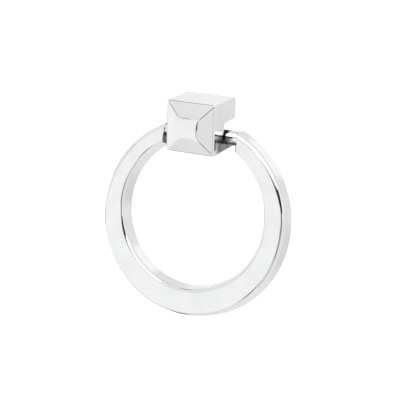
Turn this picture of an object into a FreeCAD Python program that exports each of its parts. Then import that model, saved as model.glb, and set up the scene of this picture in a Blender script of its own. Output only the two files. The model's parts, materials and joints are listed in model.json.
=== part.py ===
import FreeCAD, Part
import Sketcher
import os

os.makedirs("parts", exist_ok=True)

doc = FreeCAD.newDocument("RingPull")

# Sizes in millimetres and degrees
# Frame: origin at the mouth of the screw hole, +Y into the drawer, +Z up, the front faces -Y
SIZES = [
    ("post_side", 16.0),
    ("post_depth", 16.0),
    ("pyramid_height", 1.8),
    ("pyramid_flat", 4.8),
    ("pyramid_mid_share", 0.78),
    ("pyramid_mid_side", 8.6),
    ("post_top_round", 2.0),
    ("post_edge_round", 0.4),
    ("screw_radius", 1.65),
    ("screw_depth", 10.0),
    ("screw_above_centre", 4.4),
    ("slot_roof", 1.0),
    ("slot_cove", 1.2),
    ("pivot_back", 6.2),
    ("pivot_drop", 3.8),
    ("bar_radius", 2.3),
    ("bar_play", 0.08),
    ("bar_sink", 0.1),
    ("ring_front_radius", 30.8),
    ("ring_back_radius", 31.75),
    ("hole_front_radius", 24.2),
    ("hole_back_radius", 23.4),
    ("hole_rise", 1.7),
    ("ring_depth", 5.4),
    ("ring_edge_break", 0.35),
    ("hole_front_round", 1.0),
    ("ring_front_round", 1.2),
    ("gap_half", 12.3),
    ("bar_height", 26.65),
    ("ring_lean", 11.26),
]

sheet = doc.addObject("Spreadsheet::Sheet", "Sizes")
for row, (alias, value) in enumerate(SIZES, start=1):
    sheet.set("A%d" % row, alias)
    sheet.set("B%d" % row, str(value))
    sheet.setAlias("B%d" % row, alias)
doc.recompute()


def size(alias):
    return float(getattr(sheet, alias))


def origin_plane(body, role):
    for feature in body.Origin.OriginFeatures:
        if feature.Role == role:
            return feature
    raise ValueError("no plane " + role)


def new_sketch(body, name, role, offset=None):
    sketch = body.newObject("Sketcher::SketchObject", name)
    sketch.AttachmentSupport = [(origin_plane(body, role), "")]
    sketch.MapMode = "FlatFace"
    if offset is not None:
        sketch.setExpression(".AttachmentOffset.Base.z", offset)
    return sketch


def name_size(sketch, constraint, name, expression):
    index = sketch.addConstraint(constraint)
    sketch.renameConstraint(index, name)
    sketch.setExpression("Constraints." + name, expression)


def add_square(sketch, side_expression, side, drop_expression="0", drop=0.0):
    # Closed square about the vertical axis, its centre the drop below the sketch origin
    half = side / 2.0
    corners = [(-half, -half - drop), (half, -half - drop), (half, half - drop), (-half, half - drop)]
    for index in range(4):
        x0, z0 = corners[index]
        x1, z1 = corners[(index + 1) % 4]
        start = FreeCAD.Vector(x0, z0, 0)
        end = FreeCAD.Vector(x1, z1, 0)
        sketch.addGeometry(Part.LineSegment(start, end), False)
    for index in range(4):
        sketch.addConstraint(Sketcher.Constraint("Coincident", index, 2, (index + 1) % 4, 1))
    sketch.addConstraint(Sketcher.Constraint("Horizontal", 2))
    for index in (1, 3):
        sketch.addConstraint(Sketcher.Constraint("Vertical", index))
    sketch.addConstraint(Sketcher.Constraint("Symmetric", 0, 1, 0, 2, -2))
    name_size(sketch, Sketcher.Constraint("DistanceX", 0, 1, 0, 2, side), "side", side_expression)
    name_size(sketch, Sketcher.Constraint("DistanceY", 1, 1, 1, 2, side), "height", side_expression)
    low = half + drop
    low_expression = "(" + side_expression + ") / 2 + " + drop_expression
    name_size(sketch, Sketcher.Constraint("DistanceY", 0, 1, -1, 1, low), "low", low_expression)


def add_circle(sketch, alias, name):
    centre = FreeCAD.Vector(0, 0, 0)
    normal = FreeCAD.Vector(0, 0, 1)
    sketch.addGeometry(Part.Circle(centre, normal, size(alias)), False)
    sketch.addConstraint(Sketcher.Constraint("Coincident", 0, 3, -1, 1))
    name_size(sketch, Sketcher.Constraint("Radius", 0, size(alias)), name, "Sizes." + alias)


def edges_where(shape, test):
    names = []
    for index, edge in enumerate(shape.Edges, start=1):
        if test(edge):
            names.append("Edge%d" % index)
    return names


def near(value, target, tolerance=0.02):
    return abs(value - target) < tolerance


def box_of(edge):
    return edge.BoundBox


# Post: square block from the drawer face forward
post = doc.addObject("PartDesign::Body", "Post")
post.Label = "post"
screw_rise = size("screw_above_centre")


def add_post_square(sketch, alias):
    add_square(sketch, "Sizes." + alias, size(alias), "Sizes.screw_above_centre", screw_rise)


block_sketch = new_sketch(post, "BlockSquare", "XZ_Plane")
add_post_square(block_sketch, "post_side")
doc.recompute()
block = post.newObject("PartDesign::Pad", "Block")
block.Profile = block_sketch
block.setExpression("Length", "Sizes.post_depth")
doc.recompute()
if block.Shape.BoundBox.YMin > -1.0:
    block.Reversed = True
    doc.recompute()

# Truncated pyramid front, its facets easing off toward the flat
base_square = new_sketch(post, "PyramidBase", "XZ_Plane", "Sizes.post_depth")
add_post_square(base_square, "post_side")
mid_offset = "Sizes.post_depth + Sizes.pyramid_height * Sizes.pyramid_mid_share"
mid_square = new_sketch(post, "PyramidMiddle", "XZ_Plane", mid_offset)
add_post_square(mid_square, "pyramid_mid_side")
flat_square = new_sketch(post, "PyramidFlat", "XZ_Plane", "Sizes.post_depth + Sizes.pyramid_height")
add_post_square(flat_square, "pyramid_flat")
doc.recompute()
pyramid = post.newObject("PartDesign::AdditiveLoft", "Pyramid")
pyramid.Profile = base_square
pyramid.Sections = [mid_square, flat_square]
pyramid.Ruled = True
doc.recompute()

# Slot across the back for the bar, with a round seat about the pivot and a cove under the roof
slot_sketch = new_sketch(post, "SlotSide", "YZ_Plane")
seat = size("bar_radius") + size("bar_play")
roof = size("slot_roof") - screw_rise
pivot_y = -size("pivot_back")
pivot_z = -size("pivot_drop") - screw_rise
cove = size("slot_cove")
overrun = 1.0
wall_y = pivot_y - seat
floor_z = pivot_z - seat
diagonal = 0.5 ** 0.5
points = {
    "roof_back": FreeCAD.Vector(overrun, roof, 0),
    "roof_cove": FreeCAD.Vector(wall_y + cove, roof, 0),
    "cove_mid": FreeCAD.Vector(wall_y + cove * (1 - diagonal), roof - cove * (1 - diagonal), 0),
    "cove_wall": FreeCAD.Vector(wall_y, roof - cove, 0),
    "wall_seat": FreeCAD.Vector(wall_y, pivot_z, 0),
    "seat_mid": FreeCAD.Vector(pivot_y - seat * diagonal, pivot_z - seat * diagonal, 0),
    "seat_floor": FreeCAD.Vector(pivot_y, floor_z, 0),
    "floor_back": FreeCAD.Vector(overrun, floor_z, 0),
}
slot_sketch.addGeometry(Part.LineSegment(points["roof_back"], points["roof_cove"]), False)
slot_sketch.addGeometry(Part.Arc(points["roof_cove"], points["cove_mid"], points["cove_wall"]), False)
slot_sketch.addGeometry(Part.LineSegment(points["cove_wall"], points["wall_seat"]), False)
slot_sketch.addGeometry(Part.Arc(points["wall_seat"], points["seat_mid"], points["seat_floor"]), False)
slot_sketch.addGeometry(Part.LineSegment(points["seat_floor"], points["floor_back"]), False)
slot_sketch.addGeometry(Part.LineSegment(points["floor_back"], points["roof_back"]), False)
slot_sketch.addConstraint(Sketcher.Constraint("Horizontal", 0))
slot_sketch.addConstraint(Sketcher.Constraint("Vertical", 2))
slot_sketch.addConstraint(Sketcher.Constraint("Horizontal", 4))
slot_sketch.addConstraint(Sketcher.Constraint("Vertical", 5))
slot_sketch.addConstraint(Sketcher.Constraint("Tangent", 0, 2, 1, 1))
slot_sketch.addConstraint(Sketcher.Constraint("Tangent", 1, 2, 2, 1))
slot_sketch.addConstraint(Sketcher.Constraint("Tangent", 2, 2, 3, 1))
slot_sketch.addConstraint(Sketcher.Constraint("Tangent", 3, 2, 4, 1))
slot_sketch.addConstraint(Sketcher.Constraint("Coincident", 4, 2, 5, 1))
slot_sketch.addConstraint(Sketcher.Constraint("Coincident", 5, 2, 0, 1))
name_size(slot_sketch, Sketcher.Constraint("Radius", 1, cove), "cove", "Sizes.slot_cove")
seat_size = "Sizes.bar_radius + Sizes.bar_play"
name_size(slot_sketch, Sketcher.Constraint("Radius", 3, seat), "seat", seat_size)
pivot_far = "Sizes.pivot_back"
name_size(slot_sketch, Sketcher.Constraint("DistanceX", 3, 3, -1, 1, -pivot_y), "back", pivot_far)
pivot_low = "Sizes.pivot_drop + Sizes.screw_above_centre"
name_size(slot_sketch, Sketcher.Constraint("DistanceY", 3, 3, -1, 1, -pivot_z), "pivot", pivot_low)
roof_low = "Sizes.screw_above_centre - Sizes.slot_roof"
name_size(slot_sketch, Sketcher.Constraint("DistanceY", 0, 1, -1, 1, -roof), "roof", roof_low)
slot_sketch.addConstraint(Sketcher.Constraint("DistanceX", -1, 1, 5, 1, overrun))
doc.recompute()
slot = post.newObject("PartDesign::Pocket", "Slot")
slot.Profile = slot_sketch
slot.Midplane = True
slot.setExpression("Length", "Sizes.post_side * 1.5")
doc.recompute()

# Core of the threaded screw hole
screw_sketch = new_sketch(post, "ScrewCircle", "XZ_Plane")
add_circle(screw_sketch, "screw_radius", "bore")
doc.recompute()
before_screw = post.Tip.Shape.Volume
screw = post.newObject("PartDesign::Pocket", "ScrewHole")
screw.Profile = screw_sketch
screw.setExpression("Length", "Sizes.screw_depth")
doc.recompute()
if before_screw - screw.Shape.Volume < 1.0:
    screw.Reversed = True
    doc.recompute()

# Rounded top back edge and softened edges along the block
half_side = size("post_side") / 2.0
top_z = half_side - screw_rise


def is_top_back(edge):
    box = box_of(edge)
    return near(box.YMin, 0) and near(box.YMax, 0) and near(box.ZMin, top_z) and near(box.ZMax, top_z)


top_round = post.newObject("PartDesign::Fillet", "TopBackRound")
top_round.Base = (screw, edges_where(screw.Shape, is_top_back))
top_round.setExpression("Radius", "Sizes.post_top_round")
doc.recompute()


def is_long_edge(edge):
    box = box_of(edge)
    on_side = near(abs(box.XMin), half_side) and near(box.XMin, box.XMax)
    return on_side and near(box.ZMin, box.ZMax) and box.YMax - box.YMin > size("post_depth") / 2.0


soft = post.newObject("PartDesign::Fillet", "LongEdgeRound")
soft.Base = (top_round, edges_where(top_round.Shape, is_long_edge))
soft.setExpression("Radius", "Sizes.post_edge_round")
doc.recompute()
post.Tip = soft

# Ring: built about the pivot, its centre the bar height below
ring = doc.addObject("PartDesign::Body", "Ring")
ring.Label = "ring"


def add_cone(kind, name, back_radius, front_radius, depth, rise):
    cone = ring.newObject(kind, name)
    cone.AttachmentSupport = [(origin_plane(ring, "XZ_Plane"), "")]
    cone.MapMode = "FlatFace"
    cone.setExpression("Radius1", back_radius)
    cone.setExpression("Radius2", front_radius)
    cone.setExpression("Height", depth)
    cone.setExpression(".AttachmentOffset.Base.y", rise)
    cone.setExpression(".AttachmentOffset.Base.z", "-Sizes.ring_depth / 2")
    doc.recompute()
    return cone


outer = add_cone("PartDesign::AdditiveCone", "RingBlank", "Sizes.ring_back_radius",
                 "Sizes.ring_front_radius", "Sizes.ring_depth", "-Sizes.bar_height")
hole = add_cone("PartDesign::SubtractiveCone", "FingerHole", "Sizes.hole_back_radius",
                "Sizes.hole_front_radius", "Sizes.ring_depth", "Sizes.hole_rise - Sizes.bar_height")

half_depth = size("ring_depth") / 2.0


def is_front_hole(edge):
    box = box_of(edge)
    return near(box.YMax, -half_depth) and near(box.XMax, size("hole_front_radius"), 0.1)


hole_round = ring.newObject("PartDesign::Fillet", "HoleFrontRound")
hole_round.Base = (hole, edges_where(hole.Shape, is_front_hole))
hole_round.setExpression("Radius", "Sizes.hole_front_round")
doc.recompute()


def is_outer_front(edge):
    box = box_of(edge)
    return near(box.YMax, -half_depth) and near(box.XMax, size("ring_front_radius"), 0.1)


outer_round = ring.newObject("PartDesign::Fillet", "OuterFrontRound")
outer_round.Base = (hole_round, edges_where(hole_round.Shape, is_outer_front))
outer_round.setExpression("Radius", "Sizes.ring_front_round")
doc.recompute()


def is_back_rim(edge):
    box = box_of(edge)
    return near(box.YMin, box.YMax) and near(box.YMax, half_depth)


rim_break = ring.newObject("PartDesign::Chamfer", "BackRimBreak")
rim_break.Base = (outer_round, edges_where(outer_round.Shape, is_back_rim))
rim_break.setExpression("Size", "Sizes.ring_edge_break")
doc.recompute()

# Straight gap at the top for the post
gap_sketch = new_sketch(ring, "GapFront", "XZ_Plane")
add_square(gap_sketch, "2 * Sizes.gap_half", 2 * size("gap_half"))
doc.recompute()
gap = ring.newObject("PartDesign::Pocket", "Gap")
gap.Profile = gap_sketch
gap.Midplane = True
gap.setExpression("Length", "2 * Sizes.ring_depth")
doc.recompute()

# Round bar across the gap, the axle
bar_sketch = new_sketch(ring, "BarCircle", "YZ_Plane")
add_circle(bar_sketch, "bar_radius", "axle")
doc.recompute()
bar = ring.newObject("PartDesign::Pad", "Bar")
bar.Profile = bar_sketch
bar.Midplane = True
bar.setExpression("Length", "2 * (Sizes.gap_half + Sizes.bar_sink)")
doc.recompute()
ring.Tip = bar

# The ring hangs from the pivot, swung forward by its lean
ring.Placement = FreeCAD.Placement(
    FreeCAD.Vector(0, pivot_y, pivot_z), FreeCAD.Rotation(FreeCAD.Vector(1, 0, 0), -size("ring_lean")))
ring.setExpression(".Placement.Base.y", "-Sizes.pivot_back")
ring.setExpression(".Placement.Base.z", "-(Sizes.pivot_drop + Sizes.screw_above_centre)")
ring.setExpression(".Placement.Rotation.Angle", "-Sizes.ring_lean")
doc.recompute()

# Every feature is sound before the pieces are written
for item in doc.Objects:
    if "Invalid" in item.State or "Error" in item.State:
        raise RuntimeError("feature not built: " + item.Name)
for body in (post, ring):
    if body.Shape.isNull() or not body.Shape.isValid() or len(body.Shape.Solids) != 1:
        raise RuntimeError("piece not sound: " + body.Label)
    body.Shape.exportStep("parts/" + body.Label + ".step")
    print(body.Label, round(body.Shape.Volume, 1), body.Shape.BoundBox)
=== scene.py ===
"""Ring pull handle: a polished chrome post and the ring that swings on a bar through its slot."""

import json
import math

import bmesh
import bpy
from mathutils import Matrix, Vector


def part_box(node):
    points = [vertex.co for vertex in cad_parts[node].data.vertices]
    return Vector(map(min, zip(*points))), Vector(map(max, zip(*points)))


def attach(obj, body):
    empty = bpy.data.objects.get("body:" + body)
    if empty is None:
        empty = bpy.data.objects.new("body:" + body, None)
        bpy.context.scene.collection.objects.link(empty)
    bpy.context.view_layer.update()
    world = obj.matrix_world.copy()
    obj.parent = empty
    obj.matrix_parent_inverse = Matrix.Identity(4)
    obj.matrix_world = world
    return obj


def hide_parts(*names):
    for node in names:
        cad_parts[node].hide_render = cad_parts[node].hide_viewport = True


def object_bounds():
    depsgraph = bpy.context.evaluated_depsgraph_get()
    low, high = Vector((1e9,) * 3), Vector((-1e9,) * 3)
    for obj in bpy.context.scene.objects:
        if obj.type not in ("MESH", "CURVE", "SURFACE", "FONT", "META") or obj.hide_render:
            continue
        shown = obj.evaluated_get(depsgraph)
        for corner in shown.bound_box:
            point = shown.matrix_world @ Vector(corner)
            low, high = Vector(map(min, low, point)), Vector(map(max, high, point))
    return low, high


bl_info = {
    "name": "Ring Pull Handle",
    "version": (1, 0, 0),
    "blender": (4, 5, 0),
    "location": "View3D > Sidebar > Ring Pull",
    "description": "Models a polished ring pull for drawers and its studio stage",
    "category": "Add Mesh",
}

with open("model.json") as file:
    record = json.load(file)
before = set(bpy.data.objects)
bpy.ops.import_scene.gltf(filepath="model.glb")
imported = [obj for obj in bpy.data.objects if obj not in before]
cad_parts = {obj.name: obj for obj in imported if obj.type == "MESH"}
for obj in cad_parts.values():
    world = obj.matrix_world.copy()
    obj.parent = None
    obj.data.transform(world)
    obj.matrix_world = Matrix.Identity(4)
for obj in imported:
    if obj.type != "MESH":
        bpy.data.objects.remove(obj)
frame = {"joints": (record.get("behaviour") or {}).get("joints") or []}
CAD_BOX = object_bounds()
PIVOT = Vector(frame["joints"][0]["pos_m"])
POST_LOW, POST_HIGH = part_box("post")
POST_MIDDLE = (POST_LOW.z + POST_HIGH.z) / 2
MM = 0.001
WHITE = (1, 1, 1, 1)

# How much narrower than its solid the post is drawn
INSET = 0.01 * MM

# Turns that face a plane, or the axis of a rod, to the side or to the front
FACING_X = (0, math.pi / 2, 0)
FACING_Y = (math.pi / 2, 0, 0)

# Play allowed when points of a mesh are looked for
PLAY = 0.02 * MM
RIDGE_PLAY = 1e-6
SECTION_PLAY = 1e-7
SHARE_PLAY = 0.05
END_FACING = 0.999

# Parts of a side of the post's square, and the places along half a side that keep a point
SIDE_PARTS = 10
SIDE_SHARES = (0.0, 0.2, 0.4, 0.6)
NO_HOLLOW = 0.9999

# How finely the rounds are divided
FRONT_STEPS = 6
FACET_STEPS = 8
FLAT_STEPS = 12
CORNER_SEGMENTS = 8
COVE_SEGMENTS = 10
SEAT_SEGMENTS = 16
BREAK_SEGMENTS = 3
WIDE_SEGMENTS = 10
RIM_SEGMENTS = 5
END_SEGMENTS = 4
TOP_VERTICES = 96
HOLE_VERTICES = 64
THREAD_STEPS = 32
RING_VERTICES = 256
BAR_VERTICES = 96

# Cutters: how far they stand out, and their widths as shares of the post's side
OVERRUN = 2 * MM
CORNER_WIDTH = 1.4
SLOT_WIDTH = 1.5
ROD_WIDTH = 2

# Thread: depth of its foot inside the core, share of the pitch left flat on each side,
# and the turn that keeps its steps off the seams of the hole's wall
THREAD_OVERLAP = 0.1 * MM
THREAD_LAND = 0.08
OFF_SEAM = math.radians(1.9)

# Finishing: edges sharper than the first angle are broken, those below the second shaded smooth,
# and points closer than a sliver are joined in the order of their distance from one point
BREAK_ANGLE = math.radians(16)
SMOOTH_ANGLE = math.radians(35)
FLAT_WEIGHT = 100
SLIVER = 0.002 * MM
SORT_FROM = (0.1, 0.23, 0.37)

# Length of the bar that is sunk in the ring's two ends
BAR_SUNK = 0.6 * MM

# Stretches over which the painted shade on the ring fades, from its middle and from the bar's axis
BAR_ENDS = (12.0 * MM, 12.3 * MM)
BAR_SHADE_REACH = (2.35 * MM, 2.5 * MM)
BAR_LOWER_FRONT = (-1.3 * MM, -0.5 * MM)
BAR_ENTRY = ((7.7 * MM, 7.9 * MM), (8.5 * MM, 8.65 * MM))
END_FACES = (12.42 * MM, 12.62 * MM)
END_FOOT = ((-9.0 * MM, -7.0 * MM), (-1.3 * MM, 0.0))

# Stretches over which the painted shade on the post fades, with a painted dark reflection of the bar
# on the cheeks
SLOT_SIDES = (7.4 * MM, 7.9 * MM)
SLOT_FRONT = (-8.8 * MM, -8.62 * MM)
SLOT_HEIGHT = ((-10.8 * MM, -10.6 * MM), (-3.4 * MM, -3.2 * MM))
CHEEK_FACES = (7.6 * MM, 7.9 * MM)
CHEEK_FRONT = (-15.2 * MM, -11.6 * MM)
CHEEK_HEIGHT = ((-12.7 * MM, -11.5 * MM), (-7.3 * MM, -5.9 * MM))
CHEEK_SHARE = 0.9
HOLE_WALL = (1.7 * MM, 1.8 * MM)
HOLE_RUN = ((-10.6 * MM, -10.4 * MM), (-0.9 * MM, -0.3 * MM))

# Plating: scale and detail of each noise, and the range of it that is used
CLOUDS = (140.0, 3.0)
CLOUD_RANGE = (0.3, 0.7)
BUFFING = (900.0, 5.0)
BUFFING_RANGE = (0.35, 0.75)
WAVES = (220.0, 1.0)
WAVE_STRENGTH = 0.25
WAVE_HEIGHT = 0.02 * MM
# Streaks that break up the painted shade
SHADE_STREAKS = (1.0, 3.0)
SHADE_STREAK_RANGE = (0.35, 0.7)
SHADE_STREAK_STRETCH = (1500.0, 300.0, 300.0)

# Stage: floor, lamp, and what is fixed about the camera
FLOOR_SIZE = 8
FLOOR_DROP = 0.35
FLOOR_COLOUR = (0.9, 0.9, 0.9, 1)
FLOOR_LIFT = 0.4
LAMP_PLACE = (-0.5, -0.3, 0.9)
LAMP_AIM = Vector((0, 0, -0.03))
LAMP_SIZE = 0.9
LAMP_POWER = 2.0
CAMERA_AIM = Vector((0, -5.67 * MM, -34.9 * MM))
CAMERA_SENSOR = 36.0
CAMERA_SHIFT = (-0.0033, 0.036)
CAMERA_NEAR = 0.01

# Light from behind, in degrees from the front, where no panel stands
BACK_TURN = (92.0, 112.0)
BACK_LIGHT = 0.85

# Panels and gaps round the object, as seen from it: direction from the front, half width and softness,
# height, half height and softness, all in degrees, and the light from there
PANELS = [
    ("upper front panel", (-24, 60, 20), (60, 46, 10), 0.88),
    ("right panel", (50, 46, 14), (-22, 26, 6), 0.85),
    ("low front", (-40, 80, 20), (-70, 27, 16), 0.83),
    ("back right panel", (163, 11, 7), (23, 6, 7), 1.05),
    ("back right low", (146, 16, 10), (-26, 6, 12), 0.74),
    ("back left panel", (-156, 24, 8), (7, 6, 6), 0.95),
    ("lamp above the lens", (26, 34, 8), (47, 19, 3), 1.6),
    ("gap below the lens", (28, 30, 7), (19.5, 5.5, 2.5), 0.03),
    ("corner of the lamp", (-6, 2.5, 3), (29, 3, 3), 0.3),
    ("shoulder of the gap", (48, 12, 6), (25, 4, 2), 0.05),
    ("foot of the gap", (30, 9, 6), (8, 5, 4), 0.04),
    ("card below the lens", (11, 8, 5), (-2, 5, 3), 0.25),
    ("stand beside the lens", (31, 5, 3), (-14, 17, 8), 0.4),
    ("seam left of the lens", (-4, 0.6, 2), (-12, 4, 3), 0.1),
    ("bend of the seam", (0, 1.5, 2.5), (-18, 2.5, 3), 0.1),
    ("foot of the seam", (5, 3.5, 3.5), (-25, 3.5, 3.5), 0.12),
    ("left seam", (-40, 4, 5), (8, 4, 4), 0.45),
    ("end of the left seam", (-22, 2.5, 3), (14, 2, 2), 0.55),
    ("top seam", (-100, 18, 8), (64, 4, 3), 0.15),
    ("side seam", (-95, 10, 5), (-14, 2.5, 2.5), 0.5),
    ("floor seam", (-85, 32, 8), (-66, 3, 2.5), 0.12),
]


class PostSizes(bpy.types.PropertyGroup):
    """Sizes of the post"""

    side: bpy.props.FloatProperty(
        name="Side", description="Side of the square block",
        default=POST_HIGH.x - POST_LOW.x - INSET, unit="LENGTH")
    depth: bpy.props.FloatProperty(
        name="Depth", description="Back face to the foot of the pyramid",
        default=16.0 * MM, unit="LENGTH")
    pyramid: bpy.props.FloatProperty(
        name="Pyramid", description="Height of the pyramid front",
        default=1.8 * MM, unit="LENGTH")
    flat: bpy.props.FloatProperty(
        name="Flat", description="Side of the flat on the pyramid",
        default=6.5 * MM, unit="LENGTH")
    flat_round: bpy.props.FloatProperty(
        name="Flat round", description="Reach of the softening round the flat",
        default=0.9 * MM, unit="LENGTH")
    hollow: bpy.props.FloatProperty(
        name="Hollow", description="How far the facets are drawn in at the flat",
        default=0.14)
    front_round: bpy.props.FloatProperty(
        name="Front round", description="Radius round the foot of the pyramid",
        default=0.75 * MM, unit="LENGTH")
    top_round: bpy.props.FloatProperty(
        name="Top round", description="Radius of the top back edge",
        default=2.0 * MM, unit="LENGTH")
    corner_round: bpy.props.FloatProperty(
        name="Corner round", description="Reach of the rounding along the block",
        default=0.42 * MM, unit="LENGTH")
    ridge_round: bpy.props.FloatProperty(
        name="Ridge round", description="Reach of the rounding of the ridges at the flat",
        default=1.0 * MM, unit="LENGTH")
    edge_break: bpy.props.FloatProperty(
        name="Edge break", description="Radius on the other edges",
        default=0.16 * MM, unit="LENGTH")
    roof: bpy.props.FloatProperty(
        name="Slot roof", description="Slot roof above the block's centre",
        default=1.0 * MM, unit="LENGTH")
    cove: bpy.props.FloatProperty(
        name="Slot cove", description="Radius under the slot roof",
        default=1.2 * MM, unit="LENGTH")
    play: bpy.props.FloatProperty(
        name="Bar play", description="Clearance round the bar",
        default=0.08 * MM, unit="LENGTH")
    screw_radius: bpy.props.FloatProperty(
        name="Screw core", description="Core radius of the screw hole",
        default=1.65 * MM, unit="LENGTH")
    screw_depth: bpy.props.FloatProperty(
        name="Screw depth", description="Depth of the screw hole",
        default=10.0 * MM, unit="LENGTH")
    thread_radius: bpy.props.FloatProperty(
        name="Thread", description="Radius to the root of the thread",
        default=2.0 * MM, unit="LENGTH")
    thread_pitch: bpy.props.FloatProperty(
        name="Thread pitch", description="Advance of the thread in one turn",
        default=0.7 * MM, unit="LENGTH")


class RingSizes(bpy.types.PropertyGroup):
    """Sizes of the ring"""

    front_radius: bpy.props.FloatProperty(
        name="Front radius", description="Outer radius at the front",
        default=30.8 * MM, unit="LENGTH")
    back_radius: bpy.props.FloatProperty(
        name="Back radius", description="Outer radius at the back",
        default=31.73 * MM, unit="LENGTH")
    hole_front: bpy.props.FloatProperty(
        name="Hole front", description="Hole radius at the front",
        default=24.2 * MM, unit="LENGTH")
    hole_back: bpy.props.FloatProperty(
        name="Hole back", description="Hole radius at the back",
        default=23.4 * MM, unit="LENGTH")
    rise: bpy.props.FloatProperty(
        name="Hole rise", description="Hole centre above the ring's centre",
        default=1.7 * MM, unit="LENGTH")
    depth: bpy.props.FloatProperty(
        name="Depth", description="Front to back of the ring",
        default=5.4 * MM, unit="LENGTH")
    edge_round: bpy.props.FloatProperty(
        name="Edge round", description="Radius of the back rims",
        default=0.4 * MM, unit="LENGTH")
    front_round: bpy.props.FloatProperty(
        name="Front round", description="Radius of the outer front edge",
        default=1.2 * MM, unit="LENGTH")
    hole_round: bpy.props.FloatProperty(
        name="Hole round", description="Radius of the hole's front edge",
        default=1.0 * MM, unit="LENGTH")
    end_round: bpy.props.FloatProperty(
        name="End round", description="Radius round the cut ends",
        default=0.25 * MM, unit="LENGTH")
    gap: bpy.props.FloatProperty(
        name="Gap", description="Half the gap at the top",
        default=12.3 * MM, unit="LENGTH")
    bar_radius: bpy.props.FloatProperty(
        name="Bar radius", description="Radius of the bar",
        default=2.3 * MM, unit="LENGTH")
    bar_height: bpy.props.FloatProperty(
        name="Bar height", description="Bar above the ring's centre",
        default=26.65 * MM, unit="LENGTH")
    lean: bpy.props.FloatProperty(
        name="Lean", description="Swing forward at rest",
        default=math.radians(11.26), subtype="ANGLE")


class ChromeFinish(bpy.types.PropertyGroup):
    """Colours and polish of the plating"""

    bright: bpy.props.FloatVectorProperty(
        name="Bright", description="Brightest plating",
        default=(0.90, 0.905, 0.91), size=3, subtype="COLOR")
    grey: bpy.props.FloatVectorProperty(
        name="Grey", description="Dullest plating",
        default=(0.84, 0.845, 0.855), size=3, subtype="COLOR")
    # Painted shade: darkest and lightest colour and roughness of the shade painted in the slot, the
    # screw hole, beside the bar and at the foot of the ring's ends, and of the painted dark reflection
    # of the bar on the cheeks
    painted_shade_dark: bpy.props.FloatVectorProperty(
        name="Recess dark", description="Darkest skin in the recess",
        default=(0.02, 0.02, 0.022), size=3, subtype="COLOR")
    painted_shade_light: bpy.props.FloatVectorProperty(
        name="Recess light", description="Lightest skin in the recess",
        default=(0.24, 0.24, 0.25), size=3, subtype="COLOR")
    painted_shade_rough: bpy.props.FloatProperty(
        name="Recess roughness", description="Roughness of the skin in the recess",
        default=0.22)
    polish: bpy.props.FloatProperty(
        name="Polish", description="Least roughness",
        default=0.035)
    haze: bpy.props.FloatProperty(
        name="Haze", description="Most roughness",
        default=0.085)


class StudioSettings(bpy.types.PropertyGroup):
    """Camera of the studio"""

    azimuth: bpy.props.FloatProperty(
        name="Azimuth", description="Camera to the right of the front",
        default=math.radians(24.09), subtype="ANGLE")
    elevation: bpy.props.FloatProperty(
        name="Elevation", description="Camera above level",
        default=math.radians(18.58), subtype="ANGLE")
    roll: bpy.props.FloatProperty(
        name="Roll", description="Turn about the line of sight",
        default=math.radians(1.83), subtype="ANGLE")
    distance: bpy.props.FloatProperty(
        name="Distance", description="Camera to the ring's middle",
        default=338.8 * MM, unit="LENGTH")
    lens: bpy.props.FloatProperty(
        name="Lens", description="Focal length",
        default=95.3, subtype="DISTANCE_CAMERA")


def deselect_all():
    if bpy.context.mode != "OBJECT":
        bpy.ops.object.mode_set(mode="OBJECT")
    bpy.ops.object.select_all(action="DESELECT")


def make_active(piece):
    """Leaves the piece alone selected, in object mode."""
    deselect_all()
    piece.select_set(True)
    bpy.context.view_layer.objects.active = piece


def edit(piece):
    make_active(piece)
    bpy.ops.object.mode_set(mode="EDIT")


def new_piece(name):
    """Names the primitive just added and puts its place into its mesh."""
    piece = bpy.context.object
    piece.name = name
    piece.data.name = name
    bpy.ops.object.transform_apply(location=True, rotation=True, scale=True)
    return piece


def block(name, centre, sides):
    """Adds a block about its centre."""
    deselect_all()
    bpy.ops.mesh.primitive_cube_add(size=1, location=centre)
    bpy.context.object.scale = sides
    return new_piece(name)


def rod(name, vertices, radius, length, centre, turn):
    """Adds a rod about its centre."""
    deselect_all()
    bpy.ops.mesh.primitive_cylinder_add(
        vertices=vertices, radius=radius, depth=length, location=centre, rotation=turn)
    return new_piece(name)


def near(value, target, tolerance=PLAY):
    return abs(value - target) < tolerance


def pick(piece, kind, test):
    """Selects the points, edges or faces of the piece in edit mode that pass the test."""
    bpy.ops.mesh.select_mode(type=kind)
    bpy.ops.mesh.select_all(action="DESELECT")
    mesh = bmesh.from_edit_mesh(piece.data)
    elements = {"VERT": mesh.verts, "EDGE": mesh.edges, "FACE": mesh.faces}[kind]
    found = [element for element in elements if test(element)]
    if not found:
        raise RuntimeError("nothing to select on " + piece.name)
    for element in found:
        element.select_set(True)
    if kind == "VERT":
        mesh.select_flush(True)
    bmesh.update_edit_mesh(piece.data)


def round_edges(piece, test, reach, segments):
    """Rounds the edges of the piece in edit mode that pass the test."""
    pick(piece, "EDGE", test)
    bpy.ops.mesh.bevel(offset=reach, segments=segments, affect="EDGES")


def apply_modifier(piece, name, kind, **settings):
    """Adds a modifier with these settings and applies it."""
    make_active(piece)
    modifier = piece.modifiers.new(name, kind)
    for setting, value in settings.items():
        setattr(modifier, setting, value)
    bpy.ops.object.modifier_apply(modifier=modifier.name)


def cut(piece, cutter, operation="DIFFERENCE"):
    """Cuts the cutter out of the piece, or joins it on, and takes the cutter away."""
    apply_modifier(piece, "Cut", "BOOLEAN", operation=operation, solver="EXACT", object=cutter)
    make_active(cutter)
    bpy.ops.object.delete()


def smooth_piece(piece):
    """Smooth shading that keeps the flats flat."""
    make_active(piece)
    bpy.ops.object.shade_smooth_by_angle(angle=SMOOTH_ANGLE)
    apply_modifier(
        piece, "Flats", "WEIGHTED_NORMAL", mode="FACE_AREA", weight=FLAT_WEIGHT, keep_sharp=True)


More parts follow.
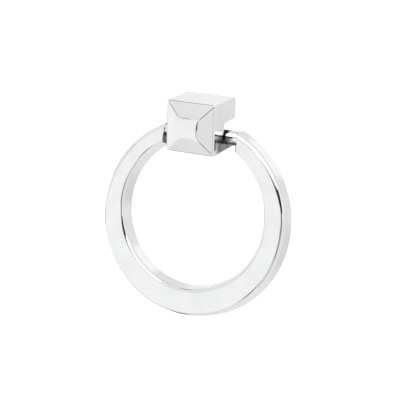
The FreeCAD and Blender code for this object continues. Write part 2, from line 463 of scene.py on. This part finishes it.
class NodeChain:
    """Strings nodes together in one node tree."""

    def __init__(self, tree):
        self.tree = tree

    def node(self, kind, inputs, **settings):
        """Adds a node, with each input set to a value or linked to another node's output."""
        node = self.tree.nodes.new(kind)
        for setting, value in settings.items():
            setattr(node, setting, value)
        for key, value in inputs.items():
            if isinstance(value, bpy.types.NodeSocket):
                self.tree.links.new(value, node.inputs[key])
            else:
                node.inputs[key].default_value = value
        return node

    def math(self, operation, *values):
        return self.node("ShaderNodeMath", dict(enumerate(values)), operation=operation).outputs[0]

    def product(self, first, *others):
        for other in others:
            first = self.math("MULTIPLY", first, other)
        return first

    def distance(self, first, second):
        squares = [self.math("POWER", value, 2.0) for value in (first, second)]
        return self.math("SQRT", self.math("ADD", *squares))

    def split(self, vector):
        return self.node("ShaderNodeSeparateXYZ", {"Vector": vector}).outputs

    # The mix node has its share in input 0, numbers in 2 and 3 and colours in 6 and 7
    def mix(self, first, second, share):
        return self.node("ShaderNodeMix", {0: share, 2: first, 3: second}).outputs[0]

    def mix_colour(self, first, second, share):
        node = self.node("ShaderNodeMix", {0: share, 6: first, 7: second}, data_type="RGBA")
        return node.outputs[2]

    def map_range(self, value, stretch, ends, kind="LINEAR"):
        node = self.node("ShaderNodeMapRange", {
            "Value": value, "From Min": stretch[0], "From Max": stretch[1],
            "To Min": ends[0], "To Max": ends[1]}, interpolation_type=kind)
        return node.outputs["Result"]

    def rise(self, value, stretch, top=1.0):
        return self.map_range(value, stretch, (0.0, top), "SMOOTHSTEP")

    def fall(self, value, stretch, bottom=0.0):
        return self.map_range(value, stretch, (1.0, bottom), "SMOOTHSTEP")

    def band(self, value, rising, falling):
        """Share that comes in over one stretch of the value and goes out over another."""
        return self.product(self.rise(value, rising), self.fall(value, falling))

    def noise(self, place, scale, detail):
        node = self.node("ShaderNodeTexNoise", {"Vector": place, "Scale": scale, "Detail": detail})
        return node.outputs["Fac"]

    def ramp(self, value, positions, colours):
        node = self.node("ShaderNodeValToRGB", {"Fac": value})
        for element, position, colour in zip(node.color_ramp.elements, positions, colours):
            element.position = position
            element.color = (*colour, 1.0)
        return node.outputs["Color"]

    def for_camera(self, seen, otherwise):
        """Shader that is one thing to the camera and another to all other rays."""
        path = self.node("ShaderNodeLightPath", {})
        choice = self.node("ShaderNodeMixShader", {
            "Fac": path.outputs["Is Camera Ray"], 1: otherwise, 2: seen})
        return choice.outputs["Shader"]


def bar_painted_shade(build, place):
    """Share of painted shade on the ring: the bar's lower front, its entry, the foot of the cut ends.
    """
    split = build.split(place)
    beside = build.math("ABSOLUTE", split["X"])
    back = build.math("SUBTRACT", split["Y"], PIVOT.y)
    up = build.math("SUBTRACT", split["Z"], PIVOT.z)
    on_bar = build.product(
        build.fall(beside, BAR_ENDS), build.fall(build.distance(back, up), BAR_SHADE_REACH))
    # Painted shade on the bar's underside and where it enters the post
    bar_shade = build.math("MAXIMUM", build.fall(up, BAR_LOWER_FRONT), build.band(beside, *BAR_ENTRY))
    ends = build.product(build.fall(beside, END_FACES), build.band(up, *END_FOOT))
    return build.math("MAXIMUM", build.product(on_bar, bar_shade), ends)


def slot_painted_shade(build, place):
    """Share of painted shade on the post: in the slot and the screw hole, and a painted dark
    reflection of the bar on the cheeks beside it.
    """
    split = build.split(place)
    beside = build.math("ABSOLUTE", split["X"])
    inside = build.product(
        build.fall(beside, SLOT_SIDES), build.rise(split["Y"], SLOT_FRONT),
        build.band(split["Z"], *SLOT_HEIGHT))
    # Painted dark reflection of the bar on the post's cheeks
    cheek = build.product(
        build.rise(beside, CHEEK_FACES, CHEEK_SHARE), build.rise(split["Y"], CHEEK_FRONT),
        build.band(split["Z"], *CHEEK_HEIGHT))
    hole = build.product(
        build.fall(build.distance(split["X"], split["Z"]), HOLE_WALL),
        build.band(split["Y"], *HOLE_RUN))
    return build.math("MAXIMUM", build.math("MAXIMUM", inside, cheek), hole)


def chrome_plate(piece, name, finish, painted_shade):
    """Polished plating: faint clouds, a fine haze, slight waves from buffing, and painted shade,
    rougher and streaked, where the mask lies.
    """
    material = bpy.data.materials.new(name)
    material.use_nodes = True
    build = NodeChain(material.node_tree)
    place = build.node("ShaderNodeTexCoord", {}).outputs["Object"]
    # Share of painted shade, from the mask given
    share = painted_shade(build, place)

    clouds = build.noise(place, *CLOUDS)
    tone = build.ramp(clouds, CLOUD_RANGE, (finish.grey, finish.bright))
    stretch = build.node("ShaderNodeMapping", {"Vector": place, "Scale": SHADE_STREAK_STRETCH})
    shade_streaks = build.noise(stretch.outputs["Vector"], *SHADE_STREAKS)
    painted_shade_colour = build.ramp(shade_streaks, SHADE_STREAK_RANGE, (finish.painted_shade_dark, finish.painted_shade_light))
    buffing = build.noise(place, *BUFFING)
    haze = build.map_range(buffing, BUFFING_RANGE, (finish.polish, finish.haze))
    bump = build.node("ShaderNodeBump", {
        "Strength": WAVE_STRENGTH, "Distance": WAVE_HEIGHT, "Height": build.noise(place, *WAVES)})

    shader = material.node_tree.nodes["Principled BSDF"]
    shader.inputs["Metallic"].default_value = 1.0
    for output, socket in (
            (build.mix_colour(tone, painted_shade_colour, share), "Base Color"),
            (build.mix(haze, finish.painted_shade_rough, share), "Roughness"),
            (bump.outputs["Normal"], "Normal")):
        material.node_tree.links.new(output, shader.inputs[socket])
    piece.data.materials.clear()
    piece.data.materials.append(material)


def front_profile(size):
    """Front of the post from the back face to its flat, as places and half sides of the square."""
    half = size.side / 2
    flat_half = size.flat / 2
    slope = math.atan2(size.pyramid, half - flat_half)
    radius = size.front_round
    turn = math.pi / 2 - slope
    foot_half = half - radius + radius * math.cos(turn)
    foot = (half - foot_half) * math.tan(slope)
    start = -size.depth - foot + radius * math.sin(turn)
    profile = [(start, half)]
    for step in range(1, FRONT_STEPS + 1):
        angle = turn * step / FRONT_STEPS
        profile.append((start - radius * math.sin(angle), half - radius + radius * math.cos(angle)))
    reach = size.flat_round
    blend = reach / math.tan(slope / 2)
    facet_end = flat_half - reach + blend * math.sin(slope)
    for step in range(1, FACET_STEPS):
        section_half = foot_half + (facet_end - foot_half) * step / FACET_STEPS
        profile.append((-size.depth - (half - section_half) * math.tan(slope), section_half))
    for step in range(FLAT_STEPS + 1):
        angle = slope * (1 - step / FLAT_STEPS)
        profile.append((
            -size.depth - size.pyramid + blend * (1 - math.cos(angle)),
            flat_half - reach + blend * math.sin(angle)))
    return profile


def toward_flat(size, section_half):
    """Share of the way from the foot of the pyramid to its flat."""
    half = size.side / 2
    return max(0.0, min(1.0, (half - section_half) / (half - size.flat / 2)))


def side_share(vertex):
    """Place of a point along its side of the square, from 0 at the middle to 1 at the corner."""
    short, long = sorted((abs(vertex.co.x), abs(vertex.co.z - POST_MIDDLE)))
    return short / long


def draw_in(factor, y):
    """Draws the selected points in toward the post's axis."""
    bpy.ops.transform.resize(value=(factor, 1, factor), center_override=(0, y, POST_MIDDLE))


def draw_block(size, profile):
    """Square outline drawn forward from the back face to the flat."""
    deselect_all()
    bpy.ops.mesh.primitive_plane_add(
        size=size.side, location=(0, 0, POST_MIDDLE), rotation=FACING_Y)
    post = new_piece("post_chromed")
    edit(post)
    bpy.ops.mesh.select_all(action="SELECT")
    bpy.ops.mesh.delete(type="ONLY_FACE")
    bpy.ops.mesh.select_all(action="SELECT")
    bpy.ops.mesh.subdivide(number_cuts=SIDE_PARTS - 1)

    # The places next to the corners are given up to the rounding of the ridges
    last_share = max(SIDE_SHARES) + SHARE_PLAY
    pick(post, "VERT", lambda vertex: last_share < side_share(vertex) < 1 - SHARE_PLAY)
    bpy.ops.mesh.dissolve_verts()
    bpy.ops.mesh.select_all(action="SELECT")
    before_y, before_half = 0.0, size.side / 2
    for y, section_half in profile:
        bpy.ops.mesh.extrude_region_move(TRANSFORM_OT_translate={"value": (0, y - before_y, 0)})
        draw_in(section_half / before_half, y)
        before_y, before_half = y, section_half
    return post


def hollow_facets(post, size, profile):
    """Sides of the sections drawn in toward the flat, so that the ridges run out in a curve."""
    for y, section_half in profile:
        hollow = size.hollow * toward_flat(size, section_half) ** 2
        for share in SIDE_SHARES:
            factor = 1 - hollow * (1 - share ** 2)
            if factor > NO_HOLLOW:
                continue
            pick(post, "VERT", lambda vertex: near(vertex.co.y, y, SECTION_PLAY)
                 and near(side_share(vertex), share, SHARE_PLAY))
            draw_in(factor, y)
    bpy.ops.mesh.select_all(action="SELECT")
    bpy.ops.mesh.fill_holes(sides=0)
    bpy.ops.mesh.select_all(action="SELECT")
    bpy.ops.mesh.normals_make_consistent(inside=False)


def round_corners(post, size, profile):
    """Corners rounded along their whole run, fine at the border and wide at the flat."""
    fine = size.corner_round / size.ridge_round
    before_y = 0.0
    for y, section_half in profile:
        pick(post, "EDGE", lambda edge: near(min(v.co.y for v in edge.verts), y, SECTION_PLAY)
             and near(max(v.co.y for v in edge.verts), before_y, SECTION_PLAY)
             and all(near(abs(v.co.x), abs(v.co.z - POST_MIDDLE), RIDGE_PLAY) for v in edge.verts))
        run = toward_flat(size, section_half)
        bpy.ops.transform.edge_bevelweight(value=fine + (1 - fine) * math.sqrt(run))
        before_y = y
    apply_modifier(
        post, "Corners", "BEVEL", limit_method="WEIGHT", width=size.ridge_round,
        segments=CORNER_SEGMENTS)


def round_top_edge(post, size):
    """Top back edge taken off by a block that has the round cut out of it."""
    top = POST_MIDDLE + size.side / 2
    middle = (OVERRUN - size.top_round) / 2
    reach = OVERRUN + size.top_round
    corner = block(
        "corner_cutter", (0, middle, top + middle), (size.side * CORNER_WIDTH, reach, reach))
    cut(corner, rod(
        "corner_round", TOP_VERTICES, size.top_round, size.side * ROD_WIDTH,
        (0, -size.top_round, top - size.top_round), FACING_X))
    cut(post, corner)


def cut_slot(post, size, bar_radius):
    """Slot cut by a block with a cove at its upper front edge and the bar's seat at its lower one."""
    seat = bar_radius + size.play
    wall_y = PIVOT.y - seat
    floor_z = PIVOT.z - seat
    roof_z = POST_MIDDLE + size.roof
    slot = block(
        "slot_cutter", (0, (wall_y + OVERRUN) / 2, (floor_z + roof_z) / 2),
        (size.side * SLOT_WIDTH, OVERRUN - wall_y, roof_z - floor_z))
    edit(slot)
    rounds = ((roof_z, size.cove, COVE_SEGMENTS), (floor_z, seat, SEAT_SEGMENTS))
    for z, reach, segments in rounds:
        round_edges(
            slot, lambda edge: all(near(v.co.y, wall_y) and near(v.co.z, z) for v in edge.verts),
            reach, segments)
    cut(post, slot)


def cut_screw_hole(post, size):
    """Core of the screw hole, in the middle of the back face."""
    cut(post, rod(
        "screw_cutter", HOLE_VERTICES, size.screw_radius, size.screw_depth + OVERRUN,
        (0, (OVERRUN - size.screw_depth) / 2, 0), FACING_Y))


def cut_thread(post, size):
    """Thread in the screw hole, cut by a three-sided ridge that winds in from the mouth."""
    pitch = size.thread_pitch
    foot = size.screw_radius - THREAD_OVERLAP
    section = (
        (foot, (1 - THREAD_LAND) * pitch), (size.thread_radius, pitch / 2),
        (foot, THREAD_LAND * pitch))
    deselect_all()
    bpy.ops.mesh.primitive_circle_add(vertices=len(section), radius=pitch, fill_type="NOTHING")
    ridge = new_piece("thread_cutter")
    for vertex, (out, along) in zip(ridge.data.vertices, section):
        vertex.co = (out * math.cos(OFF_SEAM), along, out * math.sin(OFF_SEAM))
    apply_modifier(
        ridge, "Winding", "SCREW", axis="Y", angle=2 * math.pi, screw_offset=-pitch,
        iterations=int(size.screw_depth / pitch), steps=THREAD_STEPS, render_steps=THREAD_STEPS)
    edit(ridge)
    bpy.ops.mesh.select_all(action="SELECT")
    bpy.ops.mesh.fill_holes(sides=len(section))
    bpy.ops.mesh.normals_make_consistent(inside=False)
    cut(post, ridge)


def close_slivers(piece, cursor):
    """Slivers left by the cuts closed up, with the points put in a fixed order first."""
    cursor_before = cursor.location.copy()
    cursor.location = SORT_FROM
    edit(piece)
    bpy.ops.mesh.select_all(action="SELECT")
    bpy.ops.mesh.sort_elements(type="CURSOR_DISTANCE", elements={"VERT", "EDGE", "FACE"})
    bpy.ops.mesh.remove_doubles(threshold=SLIVER)
    bpy.ops.mesh.dissolve_degenerate(threshold=SLIVER)
    cursor.location = cursor_before


class RINGPULL_OT_post(bpy.types.Operator):
    """Square post with a pyramid front, the bar's slot and the threaded screw hole"""

    bl_idname = "ring_pull.add_post"
    bl_label = "Post"

    def execute(self, context):
        scene = context.scene
        size = scene.ring_pull_post
        profile = front_profile(size)
        post = draw_block(size, profile)
        hollow_facets(post, size, profile)
        round_corners(post, size, profile)
        round_top_edge(post, size)
        cut_slot(post, size, scene.ring_pull_ring.bar_radius)
        cut_screw_hole(post, size)

        # Small radius on every edge still sharp
        apply_modifier(
            post, "Edges", "BEVEL", limit_method="ANGLE", angle_limit=BREAK_ANGLE,
            width=size.edge_break, segments=BREAK_SEGMENTS, use_clamp_overlap=True,
            miter_outer="MITER_ARC")
        cut_thread(post, size)
        close_slivers(post, scene.cursor)
        smooth_piece(post)
        chrome_plate(post, "post_chrome_plate", scene.ring_pull_finish, slot_painted_shade)
        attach(post, "post")
        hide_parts("post")
        return {"FINISHED"}


def draw_ring(size):
    """Section drawn round as four loops: outer front, outer back, hole back, hole front."""
    half = size.depth / 2
    deselect_all()
    bpy.ops.mesh.primitive_circle_add(
        vertices=RING_VERTICES, radius=size.front_radius, fill_type="NOTHING",
        location=(0, -half, 0), rotation=FACING_Y)
    ring = new_piece("ring_chromed")
    edit(ring)
    bpy.ops.mesh.select_all(action="SELECT")
    steps = (
        ((0, size.depth, 0), size.back_radius / size.front_radius, (0, half, 0)),
        ((0, 0, size.rise), size.hole_back / size.back_radius, (0, half, size.rise)),
        ((0, -size.depth, 0), size.hole_front / size.hole_back, (0, -half, size.rise)),
    )
    for move, factor, centre in steps:
        bpy.ops.mesh.extrude_region_move(TRANSFORM_OT_translate={"value": move})
        bpy.ops.transform.resize(value=(factor, 1, factor), center_override=centre)
    bpy.ops.mesh.select_all(action="DESELECT")
    bpy.ops.mesh.select_mode(type="EDGE")
    bpy.ops.mesh.select_non_manifold()
    bpy.ops.mesh.bridge_edge_loops()
    bpy.ops.mesh.select_all(action="SELECT")
    bpy.ops.mesh.normals_make_consistent(inside=False)
    return ring


def round_rims(ring, size):
    """Front edges rounded wide, the back ones less."""
    half = size.depth / 2

    def on_loop(edge, y, radius, rise):
        return all(
            near(v.co.y, y) and near(math.hypot(v.co.x, v.co.z - rise), radius)
            for v in edge.verts)

    round_edges(
        ring, lambda edge: on_loop(edge, -half, size.hole_front, size.rise),
        size.hole_round, WIDE_SEGMENTS)
    round_edges(
        ring, lambda edge: on_loop(edge, -half, size.front_radius, 0),
        size.front_round, WIDE_SEGMENTS)
    round_edges(
        ring, lambda edge: on_loop(edge, half, size.back_radius, 0)
        or on_loop(edge, half, size.hole_back, size.rise),
        size.edge_round, RIM_SEGMENTS)


def cut_gap(ring, size):
    """Straight gap at the top, with its two ends rounded."""
    cut(ring, block("gap_cutter", (0, 0, size.bar_height), (2 * size.gap,) * 3))
    edit(ring)
    pick(ring, "FACE", lambda face: abs(face.normal.x) > END_FACING
         and near(abs(face.calc_center_median().x), size.gap))
    bpy.ops.mesh.region_to_loop()
    bpy.ops.mesh.bevel(
        offset=size.end_round, segments=END_SEGMENTS, affect="EDGES", clamp_overlap=True)


def hang_ring(ring, size):
    """Bar brought to the pivot and the ring swung forward about it."""
    edit(ring)
    bpy.ops.mesh.select_all(action="SELECT")
    bpy.ops.transform.translate(value=(0, 0, -size.bar_height))
    bpy.ops.transform.rotate(value=size.lean, orient_axis="X", center_override=(0, 0, 0))
    bpy.ops.transform.translate(value=PIVOT)


class RINGPULL_OT_ring(bpy.types.Operator):
    """Flat ring with tapered walls about two centres, cut at the top and joined by a round bar"""

    bl_idname = "ring_pull.add_ring"
    bl_label = "Ring"

    def execute(self, context):
        scene = context.scene
        size = scene.ring_pull_ring
        ring = draw_ring(size)
        round_rims(ring, size)
        cut_gap(ring, size)
        bar = rod(
            "bar_blank", BAR_VERTICES, size.bar_radius, 2 * size.gap + BAR_SUNK,
            (0, 0, size.bar_height), FACING_X)
        cut(ring, bar, "UNION")
        hang_ring(ring, size)
        smooth_piece(ring)
        chrome_plate(ring, "ring_chrome_plate", scene.ring_pull_finish, bar_painted_shade)
        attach(ring, "ring")
        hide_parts("ring")
        return {"FINISHED"}


def light_tent(world):
    """White panels all round with dark gaps between them; the camera itself sees plain white."""
    world.use_nodes = True
    tree = world.node_tree
    tree.nodes.clear()
    build = NodeChain(tree)
    split = build.split(build.node("ShaderNodeTexCoord", {}).outputs["Generated"])
    ahead = build.math("MULTIPLY", split["Y"], -1.0)
    turn = build.math("DEGREES", build.math("ARCTAN2", split["X"], ahead))
    height = build.math("DEGREES", build.math("ARCSINE", split["Z"]))
    level = build.fall(build.math("ABSOLUTE", turn), BACK_TURN, BACK_LIGHT)
    for name, (centre, half_width, soft_width), (middle, half_height, soft_height), light in PANELS:
        across = build.math("ABSOLUTE", build.math("SUBTRACT", turn, centre))
        along = build.math("ABSOLUTE", build.math("SUBTRACT", height, middle))
        share = build.product(
            build.fall(across, (half_width, half_width + soft_width)),
            build.fall(along, (half_height, half_height + soft_height)))
        level = build.mix(level, light, share)
        level.node.label = name
    tent = build.node("ShaderNodeBackground", {"Color": WHITE, "Strength": level})
    plain = build.node("ShaderNodeBackground", {"Color": WHITE})
    build.node("ShaderNodeOutputWorld", {
        "Surface": build.for_camera(plain.outputs["Background"], tent.outputs["Background"])})


def floor_material():
    """Pale matt floor, lifted to white for the camera, that still takes a shadow."""
    material = bpy.data.materials.new("pale_floor")
    material.use_nodes = True
    material.node_tree.nodes.clear()
    build = NodeChain(material.node_tree)
    matt = build.node("ShaderNodeBsdfDiffuse", {"Color": FLOOR_COLOUR}).outputs["BSDF"]
    lift = build.node("ShaderNodeEmission", {"Strength": FLOOR_LIFT}).outputs["Emission"]
    lifted = build.node("ShaderNodeAddShader", {0: matt, 1: lift}).outputs["Shader"]
    build.node("ShaderNodeOutputMaterial", {"Surface": build.for_camera(lifted, matt)})
    return material


class RINGPULL_OT_stage(bpy.types.Operator):
    """Pale floor, white surroundings, soft lamp and camera"""

    bl_idname = "ring_pull.add_stage"
    bl_label = "Stage"

    def execute(self, context):
        studio = context.scene.ring_pull_studio
        deselect_all()
        bpy.ops.mesh.primitive_plane_add(
            size=FLOOR_SIZE, location=(0, 0, CAD_BOX[0][2] - FLOOR_DROP))
        floor = new_piece("pale_floor")
        floor.data.materials.append(floor_material())
        floor.visible_glossy = False

        world = bpy.data.worlds.new("light_tent")
        context.scene.world = world
        light_tent(world)

        bpy.ops.object.light_add(type="AREA", location=LAMP_PLACE)
        lamp = bpy.context.object
        lamp.name = "soft_top_lamp"
        lamp.data.size = LAMP_SIZE
        lamp.data.energy = LAMP_POWER
        lamp.visible_glossy = False
        lamp.rotation_euler = (LAMP_AIM - lamp.location).to_track_quat("-Z", "Y").to_euler()

        turn = (Matrix.Rotation(studio.azimuth, 3, "Z")
                @ Matrix.Rotation(math.pi / 2 - studio.elevation, 3, "X")
                @ Matrix.Rotation(studio.roll, 3, "Z"))
        bpy.ops.object.camera_add(location=CAMERA_AIM + turn @ Vector((0, 0, studio.distance)))
        camera = bpy.context.object
        camera.rotation_euler = turn.to_euler()
        camera.data.lens = studio.lens
        camera.data.sensor_width = CAMERA_SENSOR
        camera.data.shift_x, camera.data.shift_y = CAMERA_SHIFT
        camera.data.clip_start = CAMERA_NEAR
        context.scene.camera = camera
        context.scene.view_settings.view_transform = "Standard"
        return {"FINISHED"}


class RINGPULL_PT_panel(bpy.types.Panel):
    """Buttons for the pieces and the stage, and the sizes and colours they use"""

    bl_label = "Ring Pull"
    bl_idname = "RINGPULL_PT_panel"
    bl_space_type = "VIEW_3D"
    bl_region_type = "UI"
    bl_category = "Ring Pull"

    def draw(self, context):
        for operator in (RINGPULL_OT_post, RINGPULL_OT_ring, RINGPULL_OT_stage):
            self.layout.operator(operator.bl_idname)
        scene = context.scene
        groups = (
            (scene.ring_pull_post, PostSizes), (scene.ring_pull_ring, RingSizes),
            (scene.ring_pull_finish, ChromeFinish), (scene.ring_pull_studio, StudioSettings))
        for settings, group in groups:
            box = self.layout.box()
            box.label(text=group.__doc__)
            for name in group.__annotations__:
                box.prop(settings, name)


CLASSES = (
    PostSizes, RingSizes, ChromeFinish, StudioSettings,
    RINGPULL_OT_post, RINGPULL_OT_ring, RINGPULL_OT_stage, RINGPULL_PT_panel,
)


def register():
    for item in CLASSES:
        bpy.utils.register_class(item)
    bpy.types.Scene.ring_pull_post = bpy.props.PointerProperty(type=PostSizes)
    bpy.types.Scene.ring_pull_ring = bpy.props.PointerProperty(type=RingSizes)
    bpy.types.Scene.ring_pull_finish = bpy.props.PointerProperty(type=ChromeFinish)
    bpy.types.Scene.ring_pull_studio = bpy.props.PointerProperty(type=StudioSettings)


def unregister():
    del bpy.types.Scene.ring_pull_studio
    del bpy.types.Scene.ring_pull_finish
    del bpy.types.Scene.ring_pull_ring
    del bpy.types.Scene.ring_pull_post
    for item in reversed(CLASSES):
        bpy.utils.unregister_class(item)


def main():
    register()
    bpy.ops.ring_pull.add_post()
    bpy.ops.ring_pull.add_ring()
    bpy.ops.ring_pull.add_stage()


if __name__ == "__main__":
    main()
